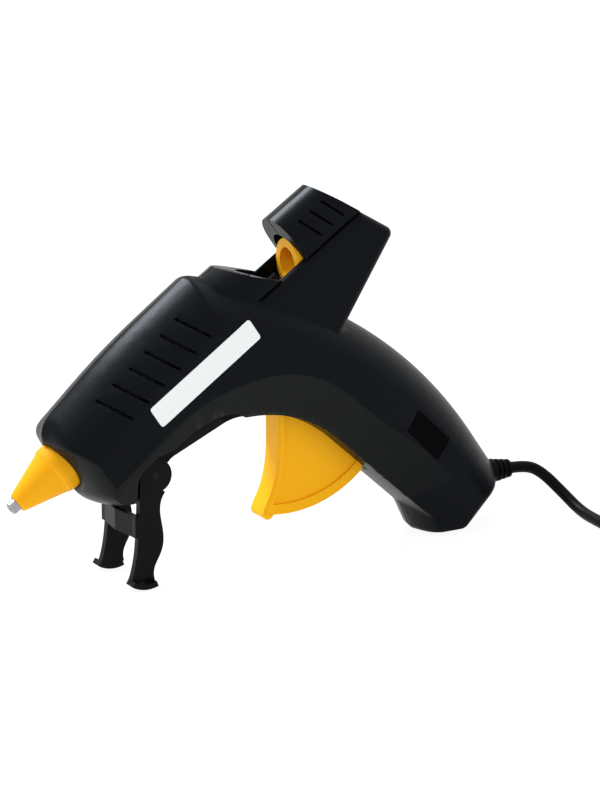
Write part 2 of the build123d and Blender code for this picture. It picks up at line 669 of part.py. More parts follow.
def sleeve_clip():
    wire = 0.6
    place = across(CHAMBER_END + SPIGOT_L / 2)
    return place * Torus(INLET_R + wire + RUN_FIT, wire)


# ---------------------------------------------------------------- feed

def carriage():
    """The black slide under the stick: trough, floor under the clamp, and cross pins."""
    outer = Circle(CARRIAGE_R)
    low = Pos(0, CARRIAGE_TOP - CARRIAGE_R) * Rectangle(3 * CARRIAGE_R, 2 * CARRIAGE_R)
    floor = Pos(0, CLAMP_FLOOR - CARRIAGE_R) * Rectangle(3 * CARRIAGE_R, 2 * CARRIAGE_R)
    trough = (outer & low) - Circle(CARRIAGE_BORE)
    clamp_end = CLAMP_S + CLAMP_LEAN * CLAMP_FLOOR
    body = extrude(across(CARRIAGE_START) * trough, clamp_end - GAP - CARRIAGE_START)
    body += extrude(across(CARRIAGE_START) * (outer & floor), CARRIAGE_END - CARRIAGE_START)
    body += extrude(across(CLAMP_END + GAP) * trough, CARRIAGE_END - CLAMP_END - GAP)
    pin = on_axis(PIN_S, PIN_N)
    for way in (-1, 1):
        body += rod(pin.X, pin.Z, PIN_R, *sorted((way * 5.0, way * PIN_HALF)))
        low, high = SPRING_N - 1.4, CLAMP_FLOOR - 0.6
        cheek = Pos(SPRING_FRONT - 1.5, (low + high) / 2) * Rectangle(5, high - low)
        body += slab(cheek, *sorted((way * 1.0, way * 2.4)), AXIS_SIDE)
    loop = on_axis(SPRING_FRONT, SPRING_N)
    return body + rod(loop.X, loop.Z, LOOP_R - SPRING_WIRE / 2 - RUN_FIT, -1.2, 1.2)


def stick_clamp():
    """The yellow ring that grips the stick, its front end cut on the slant."""
    section = Circle(CARRIAGE_R - 0.1) - Circle(CARRIAGE_BORE)
    ring = extrude(across(CLAMP_S - 20) * section, CLAMP_END - CLAMP_S + 20)
    high = 30.0
    keep = side_area([(CLAMP_S + CLAMP_LEAN * CLAMP_FLOOR, CLAMP_FLOOR), (FAR, CLAMP_FLOOR),
                      (FAR, high), (CLAMP_S + CLAMP_LEAN * high, high)])
    return ring & keep


def rim_point(angle, radius):
    return Vector(*RIM_CENTRE) + Vector(radius, 0).rotate(Axis.Z, angle)


def trigger_face():
    """The trigger seen from the side: finger curve, toe, lower rim and back edge."""
    pin = Vector(TRIGGER_X, TRIGGER_Z)
    front = Spline(*TRIGGER_FRONT)
    toe = TangentArc(front @ 1, Vector(*TRIGGER_TOE), tangent=front % 1)
    rim_start, heel = rim_point(RIM_TOE, RIM_R), rim_point(RIM_HEEL, RIM_R)
    rim = ThreePointArc(rim_start, rim_point((RIM_TOE + RIM_HEEL) / 2, RIM_R), heel)
    back = Polyline(heel, heel + Vector(-1.0, 4), pin + Vector(4, 4), front @ 0)
    return make_face(front + toe + Line(toe @ 1, rim_start) + rim + back)


def trigger():
    """Finger piece, hub and the two arms that push the carriage."""
    face = trigger_face()
    pin = Vector(TRIGGER_X, TRIGGER_Z)
    inner = (Pos(FLANGE_T, 0) * face) & (Pos(*RIM_CENTRE) * Circle(RIM_R - RIM_T))
    rims = slab(face - inner, -TRIGGER_HALF, TRIGGER_HALF)
    tall = slab(Pos(0, TRIGGER_Z + FAR / 2 - 2) * Rectangle(FAR, FAR), -FAR, FAR)
    rims -= tall
    side_edges = [e for e in rims.edges() if abs(e.center().Y) > TRIGGER_HALF - 0.1]
    front_edges = [e for e in side_edges if e.center().X < TRIGGER_FRONT[0][0] + 0.5 and e.length > 4]
    rims = fillet(front_edges, FLANGE_ROUND)
    body = rims + (slab(face, -TRIGGER_WEB, TRIGGER_WEB) - tall)
    body += rod(TRIGGER_X, TRIGGER_Z, HUB_R, -HUB_HALF, HUB_HALF)
    target = on_axis(PIN_S, PIN_N)
    reach = Vector(target.X - TRIGGER_X, target.Z - TRIGGER_Z)
    turn = degrees(atan2(reach.Y, reach.X))
    end = reach.length + PIN_R + ARM_PAST
    fit_w = 2 * (PIN_R + ARM_FIT)
    arm = Pos(end / 2, 0) * Rectangle(end, fit_w + 3.4)
    slot = SlotCenterToCenter(SLOT_TRAVEL, fit_w) + Pos(SLOT_TRAVEL, 0) * Rectangle(2 * SLOT_TRAVEL, fit_w)
    arm = Pos(pin.X, pin.Y) * Rot(0, 0, turn) * (arm - Pos(reach.length, 0) * slot)
    for way in (-1, 1):
        body += slab(arm, *sorted((way * (HUB_HALF - ARM_T), way * HUB_HALF)))
    return body - rod(TRIGGER_X, TRIGGER_Z, TRIGGER_PIN_R + RUN_FIT, -FAR, FAR)


def trigger_pin():
    return rod(TRIGGER_X, TRIGGER_Z, TRIGGER_PIN_R, -TRIGGER_PIN_HALF, TRIGGER_PIN_HALF)


def return_spring():
    """A close-wound tension spring, its coils as one ribbed tube, with a loop at each end."""
    start, end = SPRING_FRONT + LOOP_R, SPRING_BACK - LOOP_R
    turns = round((end - start) / SPRING_WIRE)
    pitch = (end - start) / turns
    inner, outer, line = SPRING_R - SPRING_WIRE, SPRING_R, SPRING_N
    crests = [(start + pitch * k / 2, line + outer - (k % 2) * 0.2) for k in range(2 * turns + 1)]
    body = make_face(AXIS_SIDE * Polyline((start, line + inner), *crests, (end, line + inner), close=True))
    spring = revolve(body, Axis(on_axis(0, line), AXIS_DIR))
    for s, rim in ((SPRING_FRONT, start), (SPRING_BACK, end)):
        loop = Plane(origin=on_axis(s, line), x_dir=AXIS_DIR, z_dir=(0, -1, 0)) * Torus(LOOP_R, SPRING_WIRE / 2)
        hook = Pos(rim, line) * Rectangle(SPRING_WIRE, 2 * inner + SPRING_WIRE)
        spring += loop + slab(hook, -SPRING_WIRE / 2, SPRING_WIRE / 2, AXIS_SIDE)
    return spring


# ---------------------------------------------------------------- stand

def leg_face():
    """One leg of the stand seen from the side, head and foot included."""
    front = Spline(*LEG_FRONT)
    back = Spline(*LEG_BACK)
    outline = front + Line(front @ 1, back @ 0) + back + Line(back @ 1, front @ 0)
    return make_face(outline) + Pos(STAND_X, STAND_Z) * Circle(STAND_HEAD_R)


def sole_face():
    """The curved sole under each leg, seen from the side."""
    arc = CenterArc((SOLE_X, SOLE_R), SOLE_R, SOLE_FROM, SOLE_SWEEP)
    inner = CenterArc((SOLE_X, SOLE_R), SOLE_R - SOLE_T, SOLE_FROM, SOLE_SWEEP)
    return make_face(arc + inner + Line(arc @ 0, inner @ 0) + Line(arc @ 1, inner @ 1))


def stand():
    """Two legs with curved soles, and the folded plate that joins them."""
    body = Part()
    for way in (-1, 1):
        outer, inner = way * STAND_HALF, way * (STAND_HALF - STAND_T)
        body += slab(leg_face(), *sorted((outer, inner)))
        body += slab(sole_face(), *sorted((outer + way * FOOT_OUT, inner)))
    half = STAND_HALF - STAND_T
    corners = [(PLATE_BACK, -half), (PLATE_FRONT, -half), (PLATE_FRONT - PLATE_BEND, 0),
               (PLATE_FRONT, half), (PLATE_BACK, half), (PLATE_BACK - PLATE_BEND, 0)]
    plan = make_face(Polyline(*corners, close=True))
    body += extrude(Plane.XY.offset(PLATE_Z[0]) * plan, PLATE_Z[1] - PLATE_Z[0])
    tie = Rectangle(PLATE_BACK - PLATE_FRONT, PLATE_Z[1] - PLATE_Z[0])
    for way in (-1, 1):
        side = slab(Pos((PLATE_FRONT + PLATE_BACK) / 2, sum(PLATE_Z) / 2) * tie,
                    *sorted((way * (half - 0.01), way * STAND_HALF)))
        body += side
    return body - rod(STAND_X, STAND_Z, STAND_AXLE_R + RUN_FIT, -FAR, FAR)


def stand_axle():
    return rod(STAND_X, STAND_Z, STAND_AXLE_R, -STAND_HALF, STAND_HALF)


# ---------------------------------------------------------------- label, badge and wiring

def rating_label():
    place = on_axis(LABEL_S, LABEL_N)
    plane = flank_plane(NOSE_W / 2)
    face = Pos(place.X, place.Z) * Rot(0, 0, AXIS_PITCH) * RectangleRounded(LABEL_L, LABEL_W, 1.2)
    return extrude(plane * face, LABEL_T, dir=plane.z_dir)


def cord_boot():
    """The ribbed rubber boot, held in the wall of the heel between its two collars."""
    bore = CORD_D / 2 + RUN_FIT
    inside = HEEL_FACE - HEEL_GRIP
    collar = HEEL_FACE + 3.0
    points = [(inside - BOOT_FLANGE_T, bore), (inside - BOOT_FLANGE_T, BOOT_FLANGE_R),
              (inside, BOOT_FLANGE_R), (inside, BOOT_NECK_R), (HEEL_FACE, BOOT_NECK_R),
              (HEEL_FACE, BOOT_R), (collar, BOOT_R)]
    for k, (rib_r, groove_r) in enumerate(BOOT_RIBS):
        x = collar + BOOT_PITCH * k
        points += [(x, groove_r), (x + BOOT_PITCH / 2, groove_r), (x + BOOT_PITCH / 2, rib_r),
                   (x + BOOT_PITCH, rib_r)]
    points += [(collar + BOOT_PITCH * len(BOOT_RIBS), 3.2), (BOOT_END, 3.0), (BOOT_END, bore)]
    return along_x(points)


def cord_tail():
    """The end of the cord's jacket inside the heel."""
    return along_x([(TAIL_START, 0), (TAIL_START, CORD_D / 2), (BOOT_END, CORD_D / 2), (BOOT_END, 0)])


def cord_clamp():
    bar = slab(Pos(CLAMP_X, CORD_Z) * RectangleRounded(CLAMP_W, 2 * CLAMP_SPREAD + CLAMP_W, 2.5),
               CORD_D / 2, CORD_D / 2 + CLAMP_T)
    for way in (-1, 1):
        bar -= rod(CLAMP_X, CORD_Z + way * CLAMP_SPREAD, CLAMP_SCREW_R + 0.15, -FAR, FAR)
    return bar


def clamp_screws():
    seat = CORD_D / 2 + CLAMP_T
    return [pan_screw(CLAMP_X, CORD_Z + way * CLAMP_SPREAD, seat, CLAMP_SCREW_L, CLAMP_SCREW_R, CLAMP_HEAD_R)
            for way in (-1, 1)]


def wire(way):
    """One insulated wire from the cord's end to its terminal."""
    end = on_axis(TAB_END + TERMINAL_L, plate_n(way))
    lead = on_axis(TAB_END + TERMINAL_L + 6, plate_n(way))
    route = [(TAIL_START, CORD_Z), (TAIL_START - 6, CORD_Z), *WIRE_ROUTE, (lead.X, lead.Z), (end.X, end.Z)]
    y_near, y_far = way * 1.2, way * 2.0
    points = [(x, y_near if i < 2 else y_far, z) for i, (x, z) in enumerate(route)]
    path = FilletPolyline(*points, radius=4.0)
    return sweep(Plane(origin=path @ 0, z_dir=path % 0) * Circle(WIRE_R), path)


# ---------------------------------------------------------------- the free cord

def cord_tube(points, name):
    """A round tube along straight runs joined by arcs, each as large as its runs allow."""
    spots = [Vector(*p) for p in points]
    runs = [b - a for a, b in zip(spots, spots[1:])]
    radii = []
    for before, after in zip(runs, runs[1:]):
        half_turn = radians(before.get_angle(after) / 2)
        radii.append(0.45 * min(before.length, after.length) / tan(half_turn))
    print(name, "radii", [round(r, 1) for r in radii])
    path = FilletPolyline(*points, radius=radii)
    tube = sweep(Plane(origin=path @ 0, z_dir=path % 0) * Circle(CORD_D / 2), path)
    print(name, "length", round(path.length, 1), "volume / (section x length)",
          round(tube.volume / (pi * CORD_D ** 2 / 4 * path.length), 4))
    return tube


def power_cord():
    return cord_tube([(BOOT_END, 0, CORD_Z), *CORD_ROUTE], "power_cord")


def cord_coil():
    """The rest of the cord, wound up: the outer shape of its bundle of turns."""
    side = Pos(COIL_R, COIL_SIDE / 2) * RectangleRounded(COIL_SIDE, COIL_SIDE, CORD_D / 2 - 0.01)
    ring = revolve(Plane.XZ * side, Axis.Z)
    return Pos(COIL_X, COIL_Y, 0) * ring


def lead_points():
    """From the top of the coil round a quarter turn into the rear of the plug."""
    turn_x, turn_y = COIL_X + PLUG_OFF - LEAD_R, COIL_Y + PLUG_START - 4
    reach = LEAD_R / cos(radians(15))
    corners = [(turn_x + reach * cos(radians(a)), turn_y + reach * sin(radians(a))) for a in (-75, -45, -15)]
    start = (turn_x - 5, turn_y - LEAD_R)
    flat = [start, *corners]
    top = COIL_SIDE + PLUG_H / 2
    rising = [(x, y, z) for (x, y), z in zip(flat, (*LEAD_RISE, top))]
    return rising + [(COIL_X + PLUG_OFF, COIL_Y + PLUG_START, top)]


def plug_lead():
    return cord_tube(lead_points(), "plug_lead")


def plug_plane(along):
    """A plane across the plug, at a distance from the rear end of its relief."""
    origin = (COIL_X + PLUG_OFF, COIL_Y + PLUG_START + along, COIL_SIDE + PLUG_H / 2)
    return Plane(origin=origin, x_dir=(1, 0, 0), z_dir=(0, 1, 0))


def plug_body():
    """A flat two-pin plug that tapers into its strain relief."""
    relief = loft([plug_plane(0) * Circle(RELIEF_R - 0.8), plug_plane(RELIEF_L) * Circle(RELIEF_R)])
    neck = plug_plane(RELIEF_L) * RectangleRounded(13, 10, 4)
    middle = plug_plane(RELIEF_L + PLUG_L * 0.55) * RectangleRounded(25, PLUG_H, 5)
    front = plug_plane(RELIEF_L + PLUG_L) * RectangleRounded(PLUG_W, PLUG_H, 5)
    return relief + loft([neck, middle], ruled=True) + loft([middle, front], ruled=True)


def plug_pins():
    pins = []
    for way in (-1, 1):
        pin = extrude(plug_plane(RELIEF_L + PLUG_L) * Pos(way * PIN_SPREAD, 0) * Circle(PIN_D / 2), PIN_L)
        pins.append(fillet(pin.faces().sort_by(Axis.Y)[-1].edges(), 1.5))
    return pins


def to_origin(pieces):
    """The move that puts the origin under the middle of the gun, on the floor."""
    boxes = [piece.bounding_box() for name, piece in pieces.items() if name not in FREE_CORD]
    middle = (min(box.min.X for box in boxes) + max(box.max.X for box in boxes)) / 2
    return Location((-middle, 0, -min(box.min.Z for box in boxes)))


if __name__ == "__main__":
    os.makedirs("parts", exist_ok=True)
    common = left_shell()
    pieces = {
        "left_housing": left_housing(common),
        "right_housing": right_housing(common),
        "housing_screws": Compound(housing_screws()),
        "nozzle_tip": nozzle_tip(),
        "nozzle_sleeve": nozzle_sleeve(),
        "melt_chamber": melt_chamber(),
        "ptc_heater": ptc_heater(),
        "heater_plates": Compound(heater_plates()),
        "wire_terminals": Compound(terminals()),
        "inlet_sleeve": inlet_sleeve(),
        "sleeve_clip": sleeve_clip(),
        "feed_carriage": carriage(),
        "stick_clamp": stick_clamp(),
        "trigger": trigger(),
        "trigger_pin": trigger_pin(),
        "return_spring": return_spring(),
        "stand": stand(),
        "stand_axle": stand_axle(),
        "rating_label": rating_label(),
        "badge_plate": badge_area(0, BADGE_T),
        "live_wire": wire(1),
        "neutral_wire": wire(-1),
        "cord_boot": cord_boot(),
        "cord_tail": cord_tail(),
        "cord_clamp": cord_clamp(),
        "clamp_screws": Compound(clamp_screws()),
        "power_cord": power_cord(),
        "cord_coil": cord_coil(),
        "plug_lead": plug_lead(),
        "plug_body": plug_body(),
        "plug_pins": Compound(plug_pins()),
    }
    home = to_origin(pieces)
    print("moved by", home.position)
    for name, piece in pieces.items():
        export_step(piece.moved(home), f"parts/{name}.step")
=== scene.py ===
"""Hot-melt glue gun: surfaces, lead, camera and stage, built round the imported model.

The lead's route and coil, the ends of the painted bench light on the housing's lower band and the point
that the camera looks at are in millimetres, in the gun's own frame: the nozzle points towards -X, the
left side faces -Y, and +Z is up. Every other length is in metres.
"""
import math

import bmesh
import bpy
from bpy.props import FloatProperty, FloatVectorProperty, IntProperty
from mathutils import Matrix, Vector


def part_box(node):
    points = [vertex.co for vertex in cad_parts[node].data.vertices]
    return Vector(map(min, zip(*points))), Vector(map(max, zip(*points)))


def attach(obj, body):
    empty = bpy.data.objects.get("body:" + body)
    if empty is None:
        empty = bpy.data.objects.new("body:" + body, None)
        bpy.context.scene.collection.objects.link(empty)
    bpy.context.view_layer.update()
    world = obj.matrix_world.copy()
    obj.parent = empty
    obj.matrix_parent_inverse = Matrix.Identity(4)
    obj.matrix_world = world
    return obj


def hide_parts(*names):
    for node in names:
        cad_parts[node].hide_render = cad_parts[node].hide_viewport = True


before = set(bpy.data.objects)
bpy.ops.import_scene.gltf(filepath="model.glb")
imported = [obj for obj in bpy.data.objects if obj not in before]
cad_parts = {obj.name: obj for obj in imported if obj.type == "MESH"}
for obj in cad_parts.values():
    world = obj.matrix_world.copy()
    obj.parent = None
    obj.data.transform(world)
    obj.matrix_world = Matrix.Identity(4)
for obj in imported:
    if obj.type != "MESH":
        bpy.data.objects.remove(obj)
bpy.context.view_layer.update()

bl_info = {
    "name": "Glue gun dresser",
    "version": (1, 0, 0),
    "blender": (4, 5, 0),
    "location": "View3D > Sidebar > Glue gun",
    "description": "Finishes, lead, camera and stage for the glue gun",
    "category": "Object",
}

MM = 0.001
BOOT_END = 120.0                    # rear end of the cord boot in the gun's own frame
SHIFT_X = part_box("cord_boot")[1].x - BOOT_END * MM


def place(x, y, z):
    """A point in metres from millimetres in the gun's own frame."""
    return Vector((x * MM + SHIFT_X, y * MM, z * MM))


# ---------------------------------------------------------------- sizes and colours

class GunColours(bpy.types.PropertyGroup):
    housing: FloatVectorProperty(name="Housing", description="Moulded shells", subtype="COLOR",
                                 size=3, min=0, max=1, default=(0.002, 0.0023, 0.0031))
    # Painted light: this lighter tone on the down-facing lower band stands in for light from the white
    # bench below.
    painted_band_light: FloatVectorProperty(name="Lower band", description="Lower band of the shells", subtype="COLOR",
                              size=3, min=0, max=1, default=(0.0095, 0.0105, 0.0088))
    stand: FloatVectorProperty(name="Stand", description="Stand and carriage", subtype="COLOR",
                               size=3, min=0, max=1, default=(0.0035, 0.0035, 0.0036))
    trigger: FloatVectorProperty(name="Trigger", description="Trigger plastic", subtype="COLOR",
                                 size=3, min=0, max=1, default=(1.0, 0.46, 0.008))
    clamp: FloatVectorProperty(name="Clamp", description="Stick clamp plastic", subtype="COLOR",
                               size=3, min=0, max=1, default=(0.93, 0.43, 0.012))
    sleeve: FloatVectorProperty(name="Nozzle sleeve", description="Heat-proof sleeve", subtype="COLOR",
                                size=3, min=0, max=1, default=(0.76, 0.34, 0.004))
    label: FloatVectorProperty(name="Label", description="Bare rating label", subtype="COLOR",
                               size=3, min=0, max=1, default=(0.8, 0.8, 0.785))
    lead: FloatVectorProperty(name="Lead", description="Rubber of lead and plug", subtype="COLOR",
                              size=3, min=0, max=1, default=(0.0015, 0.0015, 0.0016))


class GunSizes(bpy.types.PropertyGroup):
    lead_diameter: FloatProperty(name="Lead diameter", description="Outside of the power cord",
                                 default=0.005, min=0.003, max=0.009, unit="LENGTH")
    lead_length: FloatProperty(name="Lead length", description="From the boot to the plug",
                               default=1.35, min=0.5, max=3.0, unit="LENGTH")
    coil_turns: IntProperty(name="Coil turns", description="Turns of the wound-up lead",
                            default=7, min=1, max=9)
    grain: FloatProperty(name="Grain depth", description="Depth of the moulded texture",
                         default=0.00002, min=0.0, max=0.0005, unit="LENGTH")


class StageSettings(bpy.types.PropertyGroup):
    azimuth: FloatProperty(name="Azimuth", description="Direction the camera looks from",
                           default=math.radians(-29.5), subtype="ANGLE")
    elevation: FloatProperty(name="Elevation", description="Height of the camera over the bench",
                             default=math.radians(14.6), subtype="ANGLE")
    distance: FloatProperty(name="Distance", description="Camera to the middle of the view",
                            default=1.1, min=0.3, max=5.0, unit="LENGTH")
    lens: FloatProperty(name="Lens", description="Focal length in millimetres",
                        default=121.3, min=20, max=300)
    key_power: FloatProperty(name="Key light", description="Power of the soft light above the barrel",
                             default=18.0, min=0.0, max=200.0, subtype="POWER")
    surround: FloatProperty(name="Surround", description="Strength of the even light from all sides",
                            default=0.93, min=0.0, max=2.0)
    floor: FloatProperty(name="Floor", description="Brightness of the bench",
                         default=0.9, min=0, max=1, subtype="FACTOR")


# ---------------------------------------------------------------- node helpers

def add(tree, kind, **values):
    """A new node with its attributes and input values set."""
    node = tree.nodes.new(kind)
    for name, value in values.items():
        if hasattr(node, name) and name not in node.inputs:
            setattr(node, name, value)
        else:
            node.inputs[name].default_value = value
    return node


def join(tree, source, target):
    tree.links.new(source, target)


def group(name, inputs, outputs):
    """An empty node group with named sockets, and its two end nodes."""
    tree = bpy.data.node_groups.new(name, "ShaderNodeTree")
    for label, kind, value in inputs:
        socket = tree.interface.new_socket(label, in_out="INPUT", socket_type=kind)
        socket.default_value = value
    for label, kind in outputs:
        tree.interface.new_socket(label, in_out="OUTPUT", socket_type=kind)
    return tree, tree.nodes.new("NodeGroupInput"), tree.nodes.new("NodeGroupOutput")


FINISH_OUTPUTS = [("Colour", "NodeSocketColor"), ("Roughness", "NodeSocketFloat"),
                  ("Normal", "NodeSocketVector")]
SPECK_SHARE = 0.35          # how much of the mould grain's height is its specks
METAL_GLOSS = (0.22, 0.42)  # roughness of a metal where it is brightest and where it is dullest
METAL_DULL = 0.75           # brightness of a metal's dull patches next to its own


def moulded_surface():
    """Spark-eroded mould grain: fine bumps, faint flow marks and uneven gloss."""
    tree, ins, outs = group(
        "moulded_surface",
        [("Colour", "NodeSocketColor", (0.5, 0.5, 0.5, 1)),
         ("Light Colour", "NodeSocketColor", (0.6, 0.6, 0.6, 1)),
         ("Grain Size", "NodeSocketFloat", 2500.0),
         ("Depth", "NodeSocketFloat", 0.00002),
         ("Gloss Low", "NodeSocketFloat", 0.35),
         ("Gloss High", "NodeSocketFloat", 0.5)],
        FINISH_OUTPUTS)
    where = add(tree, "ShaderNodeTexCoord")
    fine = add(tree, "ShaderNodeTexNoise", Detail=3.0)
    join(tree, where.outputs["Object"], fine.inputs["Vector"])
    join(tree, ins.outputs["Grain Size"], fine.inputs["Scale"])
    broad = add(tree, "ShaderNodeTexNoise", Scale=35.0, Detail=4.0, Roughness=0.6)
    join(tree, where.outputs["Object"], broad.inputs["Vector"])
    specks = add(tree, "ShaderNodeTexVoronoi", Scale=900.0)
    join(tree, where.outputs["Object"], specks.inputs["Vector"])
    mask = add(tree, "ShaderNodeMix", data_type="RGBA")
    join(tree, broad.outputs["Fac"], mask.inputs["Factor"])
    join(tree, ins.outputs["Colour"], mask.inputs["A"])
    join(tree, ins.outputs["Light Colour"], mask.inputs["B"])
    gloss = add(tree, "ShaderNodeMapRange")
    join(tree, broad.outputs["Fac"], gloss.inputs["Value"])
    join(tree, ins.outputs["Gloss Low"], gloss.inputs["To Min"])
    join(tree, ins.outputs["Gloss High"], gloss.inputs["To Max"])
    height = add(tree, "ShaderNodeMix", data_type="FLOAT")
    height.inputs["Factor"].default_value = SPECK_SHARE
    join(tree, fine.outputs["Fac"], height.inputs["A"])
    join(tree, specks.outputs["Distance"], height.inputs["B"])
    bump = add(tree, "ShaderNodeBump")
    join(tree, height.outputs["Result"], bump.inputs["Height"])
    join(tree, ins.outputs["Depth"], bump.inputs["Distance"])
    join(tree, mask.outputs["Result"], outs.inputs["Colour"])
    join(tree, gloss.outputs["Result"], outs.inputs["Roughness"])
    join(tree, bump.outputs["Normal"], outs.inputs["Normal"])
    return tree


def machined_surface():
    """Turned or drawn metal: fine rings or streaks and patchy gloss."""
    tree, ins, outs = group(
        "machined_surface",
        [("Colour", "NodeSocketColor", (0.6, 0.6, 0.6, 1)),
         ("Dull Colour", "NodeSocketColor", (0.4, 0.4, 0.4, 1)),
         ("Stretch", "NodeSocketVector", (1.0, 1.0, 1.0)),
         ("Depth", "NodeSocketFloat", 0.00001)],
        FINISH_OUTPUTS)
    where = add(tree, "ShaderNodeTexCoord")
    stretch = add(tree, "ShaderNodeVectorMath", operation="MULTIPLY")
    join(tree, where.outputs["Object"], stretch.inputs[0])
    join(tree, ins.outputs["Stretch"], stretch.inputs[1])
    streaks = add(tree, "ShaderNodeTexNoise", Scale=2200.0, Detail=2.0)
    join(tree, stretch.outputs["Vector"], streaks.inputs["Vector"])
    patches = add(tree, "ShaderNodeTexNoise", Scale=160.0, Detail=3.0)
    join(tree, where.outputs["Object"], patches.inputs["Vector"])
    gloss = add(tree, "ShaderNodeMapRange")
    gloss.inputs["To Min"].default_value, gloss.inputs["To Max"].default_value = METAL_GLOSS
    join(tree, patches.outputs["Fac"], gloss.inputs["Value"])
    mixed = add(tree, "ShaderNodeMix", data_type="RGBA")
    join(tree, patches.outputs["Fac"], mixed.inputs["Factor"])
    join(tree, ins.outputs["Colour"], mixed.inputs["A"])
    join(tree, ins.outputs["Dull Colour"], mixed.inputs["B"])
    bump = add(tree, "ShaderNodeBump")
    join(tree, streaks.outputs["Fac"], bump.inputs["Height"])
    join(tree, ins.outputs["Depth"], bump.inputs["Distance"])
    join(tree, mixed.outputs["Result"], outs.inputs["Colour"])
    join(tree, gloss.outputs["Result"], outs.inputs["Roughness"])
    join(tree, bump.outputs["Normal"], outs.inputs["Normal"])
    return tree


def node_group(name, make):
    """The named group, built once."""
    return bpy.data.node_groups.get(name) or make()


def lighter(colour, by):
    """A colour with each channel times a number, which darkens it below 1."""
    return [min(1.0, c * by) for c in colour]


def rgba(colour):
    return (*colour, 1.0)


def new_material(name, metallic=0.0, **sockets):
    """An empty material: its tree and its Principled shader, with plain sockets set."""
    material = bpy.data.materials.new(name)
    material.use_nodes = True
    tree = material.node_tree
    shader = tree.nodes["Principled BSDF"]
    shader.inputs["Metallic"].default_value = metallic
    for label, value in sockets.items():
        shader.inputs[label.replace("_", " ")].default_value = value
    return material, tree, shader


def surface(tree, shader, made, **values):
    """A finish group feeding a shader's colour, roughness and normal."""
    node = add(tree, "ShaderNodeGroup")
    node.node_tree = made
    for label, value in values.items():
        node.inputs[label.replace("_", " ")].default_value = value
    join(tree, node.outputs["Colour"], shader.inputs["Base Color"])
    join(tree, node.outputs["Roughness"], shader.inputs["Roughness"])
    join(tree, node.outputs["Normal"], shader.inputs["Normal"])


def plastic(name, colour, gloss=(0.35, 0.5), size=2500.0, depth=None, light=1.25, **sockets):
    """Moulded plastic or rubber."""
    made = bpy.data.materials.get(name)
    if made:
        return made
    material, tree, shader = new_material(name, **sockets)
    sizes = bpy.context.scene.gun_sizes
    surface(tree, shader, node_group("moulded_surface", moulded_surface), Colour=rgba(colour),
            Light_Colour=rgba(lighter(colour, light)), Grain_Size=size,
            Depth=sizes.grain if depth is None else depth, Gloss_Low=gloss[0], Gloss_High=gloss[1])
    return material


def metal(name, colour, stretch=(1.0, 1.0, 1.0)):
    """Turned, drawn or pressed metal."""
    made = bpy.data.materials.get(name)
    if made:
        return made
    material, tree, shader = new_material(name, metallic=1.0)
    surface(tree, shader, node_group("machined_surface", machined_surface), Colour=rgba(colour),
            Dull_Colour=rgba(lighter(colour, METAL_DULL)), Stretch=stretch)
    return material


def lead_rubber(colours):
    """The rubber of the lead, its boot and the plug."""
    return plastic("lead_rubber", colours.lead, gloss=(0.36, 0.48), size=3500, Specular_IOR_Level=0.06)


def dress(node, material):
    """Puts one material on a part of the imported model."""
    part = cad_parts[node]
    part.data.materials.clear()
    part.data.materials.append(material)


# ---------------------------------------------------------------- mesh helpers

MERGE_GAP = 2e-6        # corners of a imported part's triangles closer than this are one
SMOOTH_ANGLE = math.radians(32.0)


def finished(bm, name, material):
    """A mesh object at the origin from a bmesh, shaded smooth up to an angle."""
    mesh = bpy.data.meshes.new(name)
    bm.to_mesh(mesh)
    bm.free()
    mesh.materials.append(material)
    for face in mesh.polygons:
        face.use_smooth = True
    mesh.set_sharp_from_angle(angle=SMOOTH_ANGLE)
    piece = bpy.data.objects.new(name, mesh)
    bpy.context.scene.collection.objects.link(piece)
    return piece


def merged_copy(node, name, material):
    """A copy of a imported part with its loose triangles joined, to be shaded smooth."""
    bm = bmesh.new()
    bm.from_mesh(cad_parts[node].data)
    bmesh.ops.remove_doubles(bm, verts=bm.verts, dist=MERGE_GAP)
    piece = finished(bm, name, material)
    even = piece.modifiers.new("even_shading", "WEIGHTED_NORMAL")
    even.mode = "FACE_AREA"
    even.keep_sharp = True
    return piece


# ---------------------------------------------------------------- lead

ROUTE = [(120.0, 0.0, 19.5), (129.0, 0.0, 19.5), (135.5, -2.5, 16.0), (140.5, -9.5, 9.0),
         (142.5, -22.0, 2.5), (140.5, -38.0, 2.5), (140.0, -53.0, 2.5), (146.5, -69.0, 2.5),
         (161.0, -78.5, 2.5)]
LEAD_END = [(184.5, -77.0, 14.2), (190.6, -71.6, 18.2), (196.0, -62.4, 21.85), (196.0, -53.0, 21.85)]
LEAD_D = 5.0            # pitch of the coil's turns
COIL_X = 181.0
COIL_Y = -46.0
COIL_R = 26.0           # of the middle turns
POINTS_A_TURN = 16
CHANGE_POINTS = 4       # a turn crosses to the next one's cell over its last points
# Where each turn lies in the bundle: how far out and how high, in lead diameters.
COIL_CELLS = [(1, 0), (0, 0), (-1, 0), (-1, 1), (0, 1), (1, 1), (1, 2), (0, 2), (-1, 2)]


def coil_points(turns):
    """Control points of the wound-up turns, anticlockwise from the coil's side at -Y."""
    points = []
    for k in range(turns * POINTS_A_TURN + 1):
        turn, step = divmod(k, POINTS_A_TURN)
        here = COIL_CELLS[min(turn, turns - 1)]
        after = COIL_CELLS[min(turn + 1, turns - 1)]
        blend = max(0.0, 1 - (POINTS_A_TURN - step) / CHANGE_POINTS)
        out = here[0] + (after[0] - here[0]) * blend
        up = here[1] + (after[1] - here[1]) * blend
        angle = -math.pi / 2 + 2 * math.pi * k / POINTS_A_TURN
        radius = (COIL_R + out * LEAD_D) / math.cos(math.pi / POINTS_A_TURN)
        points.append((COIL_X + radius * math.cos(angle), COIL_Y + radius * math.sin(angle),
                       LEAD_D / 2 + up * LEAD_D))
    return points


